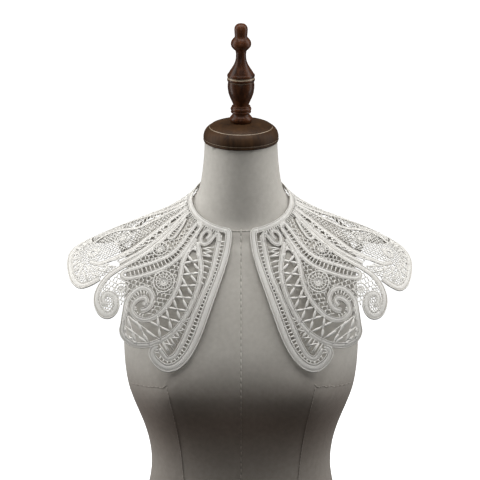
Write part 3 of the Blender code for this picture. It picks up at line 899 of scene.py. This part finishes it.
def shoulder_field(lace):
    """Leaf zigzags between the boundary and the middle tape, wheel, scroll and the wing's own lobe."""
    hem = beside(line(*WING_LOBE), WING_HEM_INSET)
    lace.tape(line(*WING_SECOND), NARROW_TAPE_WIDTH)
    lace.tape(line(*WING_MIDDLE), TAPE_WIDTH - 0.6, 0.1)
    lace.tape(line(*WING_RIDGE), NARROW_TAPE_WIDTH, 0.1)
    lace.tape(hem, HEM_WIDTH, 0.1)
    lace.lattice(line((70, 34), (67, 50), (64.9, 66), (64.6, 84), (64.8, 104), (65.2, 122)),
                 line((75.4, 36), (71.4, 54), (68, 74), (66.2, 96), (66.4, 116), (67, 128)), 11.0, 0.6,
                 3.0)
    lace.ladder(line((76.4, 12), (73, 28)), line((78.6, 12), (76, 30)), 4.6)
    lace.wheel(*WING_WHEEL, 12, (0.45, 0.75))
    lace.tape(spiral(*WING_SCROLL, 2.8, 0.45, 1.5), NARROW_TAPE_WIDTH - 0.8, 0.2, 1.6)
    lace.net([(81.6, 12), (86.2, 12), (84.6, 34), (80.8, 58), (78.6, 80), (80.6, 98), (83.4, 112),
              (83.4, 128), (80.6, 142), (75, 138), (70.4, 142), (69.4, 130), (68.8, 116), (68.6, 98),
              (71, 76), (74.2, 54), (78.6, 34)], 4.2, 30.0, (WING_WHEEL, WING_SCROLL))
    lace.lattice(line((63.6, 128), (63.6, 150), (64.6, 166), (67.4, 179)),
                 line((67.6, 136), (69, 150), (72, 160), (76, 168)), 13.0, 0.62, 3.2)
    lace.zigzag(line((68.4, 181), (75, 182), (82, 176), (87, 166), (89, 154)),
                line((72, 162), (76, 164), (80, 160), (83, 152), (84, 146)), 12.0)
    lace.net([(62.9, 128), (66.8, 134), (68.6, 148), (71.6, 158), (68.6, 179.5), (66, 177), (64.4, 166),
              (63.2, 152)], 3.6, 0.0)
    lace.net([(70.6, 142), (75, 138), (81, 141.6), (84, 148), (88.6, 152), (86, 166), (81.4, 175),
              (75, 179), (69, 179.5), (71.8, 160)], 4.0, 15.0, ((WING_SCROLL[0], 4.0),))
    lace.net([(85, 104), (89.8, 100), (90.2, 140), (90.8, 150), (86.4, 148), (84, 146), (86.2, 128)],
             4.2, 10.0)
    lace.ladder(line((84.6, 60), (82.2, 80), (85.4, 104)), line((89.2, 60), (89.4, 80), (89.8, 100)),
                5.4)
    lace.ladder(line((88.4, 12), (88, 34), (85, 56)), line((87, 12), (88.8, 34), (89.2, 56)), 5.4)
    neck_bars(lace, 67, 88)


BACK_LOBES = (
    ((92.5, 152), (94, 164), (97.5, 171), (102, 170), (105.5, 161), (107, 152)),
    ((107, 152), (108.5, 166), (114, 182), (121, 188), (129, 187), (135, 178), (138, 164)),
    ((138, 164), (142, 180), (151, 192), (162, 194), (173, 186), (180, 172)),
)
BACK_RAYS = (
    ((92, 10), (92.2, 60), (93, 110), (94, 150)), ((100, 10), (103.5, 60), (107.5, 104), (107.5, 150)),
    ((112, 10), (116, 50), (118.5, 86), (119, 116)), ((128, 10), (132, 50), (136, 96), (138, 160)),
    ((146, 10), (149, 50), (150.5, 90), (150, 122)), ((166, 10), (168, 60), (171, 110), (178.6, 165)),
)
BACK_WHEELS = (((99.5, 128), 9.5), ((127.5, 130), 12.5), ((162.0, 132), 12.5), ((125.5, 88), 9.0),
               ((159.0, 84), 8.5), ((98.5, 78), 8.5))
BACK_SCROLLS = (((117.0, 156), 9.0), ((147.5, 162), 9.5), ((171.0, 166), 7.5), ((100.5, 155), 5.5))


def back_field(lace):
    """The back: the front's tapes, leaf-bar bands, wheels and scrolls again, under its own lobes."""
    for lobe in BACK_LOBES:
        lace.tape(beside(line(*lobe), WING_HEM_INSET), HEM_WIDTH, 0.1)
    for ray in BACK_RAYS:
        lace.tape(line(*ray), TAPE_WIDTH - 0.6, 0.05)
    for centre, radius in BACK_WHEELS:
        lace.wheel(centre, radius, 12, (0.42, 0.72))
    for centre, radius in BACK_SCROLLS:
        lace.tape(spiral(centre, radius, 3.0, 0.45, 1.4), NARROW_TAPE_WIDTH - 0.6, 0.2, 1.6)
    lace.lattice(line((102.6, 14), (106, 60), (109.4, 104)), line((110.6, 14), (114, 50), (117, 96)),
                 13.0)
    lace.lattice(line((130, 14), (134, 50), (138, 96)), line((144.6, 14), (147, 50), (148.8, 90)), 13.0)
    clear = BACK_WHEELS + BACK_SCROLLS
    lace.net([(93.4, 12), (99, 12), (102, 60), (105.6, 104), (106, 149), (102.6, 163), (97, 163),
              (94.6, 150)], 6.2, 10.0, clear)
    lace.net([(114, 12), (126, 12), (130.4, 50), (134.4, 96), (136.4, 160), (132.6, 176), (125, 181),
              (116, 178), (110.4, 164), (109, 150), (109.4, 112), (117, 100), (120, 116), (120, 86),
              (117.6, 50)], 6.6, 25.0, clear)
    lace.net([(147.6, 12), (164.6, 12), (166.6, 60), (169.4, 110), (176.6, 164), (170, 180), (160, 187),
              (151, 185), (143.6, 174), (139.6, 160), (138.6, 104), (149, 96), (151.6, 122), (152, 90),
              (150.6, 50)], 6.6, 25.0, clear)
    lace.net([(167.6, 10), (179.6, 10), (179.6, 164), (172.6, 112), (169.4, 60)], 6.2, 0.0, clear)
    neck_bars(lace, 90, 180)


NECK_BAND_START, NECK_BAND_REACH, NECK_BAND_WIDTH = 15.5, 3.7, 7.2


def neck_band(lace):
    """The tape round the neck, from one front corner to the other."""
    angles = np.linspace(NECK_BAND_START, 360.0 - NECK_BAND_START, 180)
    lace.tape(np.column_stack([angles, np.full(len(angles), NECK_BAND_REACH)]), NECK_BAND_WIDTH, 0.05)


def build_collar(thread):
    """Every panel: its work, and the sides it is worked on, the second mirrored."""
    works = [("neck_band", "neck_tape", neck_band, (False,))]
    for panel, node, work in (("front_border", "front_border", front_border),
                              ("front_field", "lace_front", front_field),
                              ("shoulder_field", "lace_shoulder", shoulder_field)):
        for word, mirrored in (("_left", False), ("_right", True)):
            works.append((panel + word, node + word, work, (mirrored,)))
    works.append(("back_field", "lace_back", back_field, (False, True)))
    for name, node, work, sides in works:
        lace = Lace()
        for lace.mirror in sides:
            work(lace)
        lace.finish(name, node, thread)


# ---- stage ----

FLOOR_RADIUS, SWEEP_RADIUS, WALL_TOP = 3.6, 1.2, 4.2
# how far from the form the floor turns from lamplit to a painted white glow, and its glow at either end
GLOW_STARTS, GLOW_FULL = 0.10, 0.44
GLOW_NEAR, GLOW_FAR = 0.22, 1.0
FLOOR_PAINT = (0.80, 0.80, 0.79, 1.0)


def floor_material():
    """Pale paint that glows white away from the form, as a lit studio cove does."""
    made, nodes, links, shader = new_material("pale_floor")
    coords = nodes.new("ShaderNodeTexCoord").outputs["Object"]
    distance = nodes.new("ShaderNodeVectorMath")
    distance.operation = "LENGTH"
    links.new(coords, distance.inputs[0])
    stops = ((GLOW_STARTS, (GLOW_NEAR,) * 3), (GLOW_FULL, (GLOW_FAR,) * 3))
    glow = ramp(nodes, links, distance.outputs["Value"], *stops)
    links.new(glow, shader.inputs["Emission Color"])
    shader.inputs["Emission Strength"].default_value = 1.0
    shader.inputs["Base Color"].default_value = FLOOR_PAINT
    set_inputs(shader, Roughness=0.8)
    return made


def build_stage(floor_paint):
    """A round floor that sweeps up into a wall all round the form."""
    bm = bmesh.new()
    bend = [(FLOOR_RADIUS + SWEEP_RADIUS * math.sin(t), SWEEP_RADIUS * (1 - math.cos(t)))
            for t in np.linspace(0, math.pi / 2, 13)]
    profile = [(0.0, 0.0), *bend, (bend[-1][0], WALL_TOP)]
    verts = [bm.verts.new((radius, 0.0, height)) for radius, height in profile]
    edges = [bm.edges.new(pair) for pair in zip(verts, verts[1:])]
    bmesh.ops.spin(bm, geom=verts + edges, cent=(0, 0, 0), axis=(0, 0, 1), angle=2 * math.pi, steps=64,
                   use_merge=True)
    bmesh.ops.remove_doubles(bm, verts=bm.verts, dist=1e-6)
    bmesh.ops.recalc_face_normals(bm, faces=bm.faces)
    floor = made_piece(bm, "studio_floor", floor_paint)
    # the floor's painted glow is seen but casts no light on the form
    floor.visible_diffuse = floor.visible_glossy = False


def area_light(name, place, aim, size, watts):
    data = bpy.data.lights.new(name, "AREA")
    data.shape = "RECTANGLE"
    data.size, data.size_y = size
    data.energy = watts
    lamp = bpy.data.objects.new(name, data)
    lamp.location = place
    lamp.rotation_euler = (Vector(aim) - Vector(place)).to_track_quat("-Z", "Y").to_euler()
    bpy.context.collection.objects.link(lamp)


# name, place, what it faces, size and watts
LAMPS = (
    ("overhead", (0.0, -0.32, 1.75), (0, -0.05, 0.4), (1.2, 1.0), 17),
    ("side_left", (-1.15, -0.10, 1.25), (0, 0, 0.50), (0.7, 0.9), 8.5),
    ("side_right", (1.15, -0.10, 1.25), (0, 0, 0.50), (0.7, 0.9), 8.0),
    ("rim_left", (-1.15, 0.10, 0.40), (0, 0, 0.38), (0.4, 0.8), 5.0),
    ("rim_right", (1.15, 0.10, 0.40), (0, 0, 0.38), (0.4, 0.8), 3.4),
    ("front_fill", (0.0, -2.2, 0.7), (0, 0, 0.35), (1.4, 0.8), 4.5),
)
ROOM_LIGHT = 0.10


def build_light():
    world = bpy.data.worlds.new("white_studio")
    world.use_nodes = True
    sky = world.node_tree.nodes["Background"]
    sky.inputs["Color"].default_value = (1.0, 1.0, 1.0, 1.0)
    sky.inputs["Strength"].default_value = ROOM_LIGHT
    bpy.context.scene.world = world
    for lamp in LAMPS:
        area_light(*lamp)
    bpy.context.scene.view_settings.view_transform = "Standard"


CAMERA_AIM = Vector((-0.0013, 0, 0.4745))
CAMERA_DISTANCE, CAMERA_ELEVATION, VIEW_WIDTH = 2.0, math.radians(8.0), 0.6338


def build_camera():
    data = bpy.data.cameras.new("camera")
    data.sensor_width = 36.0
    data.lens = 36.0 * CAMERA_DISTANCE / VIEW_WIDTH
    camera = bpy.data.objects.new("camera", data)
    bpy.context.collection.objects.link(camera)
    back = Vector((0, -math.cos(CAMERA_ELEVATION), math.sin(CAMERA_ELEVATION)))
    camera.location = CAMERA_AIM + back * CAMERA_DISTANCE
    camera.rotation_euler = (-back).to_track_quat("-Z", "Y").to_euler()
    bpy.context.scene.camera = camera


# dark and light of the grain, roughness and coat of each wood
WALNUT = ((0.016, 0.005, 0.002), (0.115, 0.038, 0.012), 0.38, 0.08)
CAP_WALNUT = ((0.020, 0.009, 0.0035), (0.070, 0.033, 0.012), 0.55, 0.0)
# pale glossy wood for the painted highlight lines on the turned rings
HIGHLIGHT_LINE_WOOD = ((0.30, 0.23, 0.16), (0.42, 0.34, 0.25), 0.30, 0.3)
WAXED_BOARD = ((0.20, 0.11, 0.055), (0.40, 0.26, 0.15), 0.5, 0.1)
# the cotton's own colour, its colour in shade, and ribs a metre of tape
IVORY_COTTON = ((0.79, 0.775, 0.735), (0.69, 0.67, 0.63), 380.0)


def respaced(height):
    """A height on the finial as drawn, moved to where it was re-spaced."""
    return float(np.interp(height, FINIAL_DRAWN, FINIAL_SPACED))


def build_woodwork():
    """The neck cap and the finial, turned, and the board under the form."""
    wood = wood_material("varnished_walnut", *WALNUT)
    cap_wood = wood_material("turned_walnut", *CAP_WALNUT)
    # pale wood painted as highlight lines round the cap and the finial
    edge = wood_material("painted_highlight_lines", *HIGHLIGHT_LINE_WOOD)
    turned("turned_cap", "neck_cap", CAP_PROFILE, CAP_START, cap_wood, edge, CAP_HIGHLIGHT_BANDS)
    spaced = [(respaced(height), radius) for height, radius in FINIAL_PROFILE]
    highlight_bands = [(respaced(low), respaced(high)) for low, high in FINIAL_HIGHLIGHT_BANDS]
    turned("turned_finial", "finial", spaced, FINIAL_START, wood, edge, highlight_bands)
    build_base(wood_material("waxed_board", *WAXED_BOARD))


def main():
    build_camera()
    build_light()
    build_form(linen_material())
    build_woodwork()
    build_collar(lace_material("ivory_cotton", *IVORY_COTTON))
    build_stage(floor_material())


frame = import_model()
main()
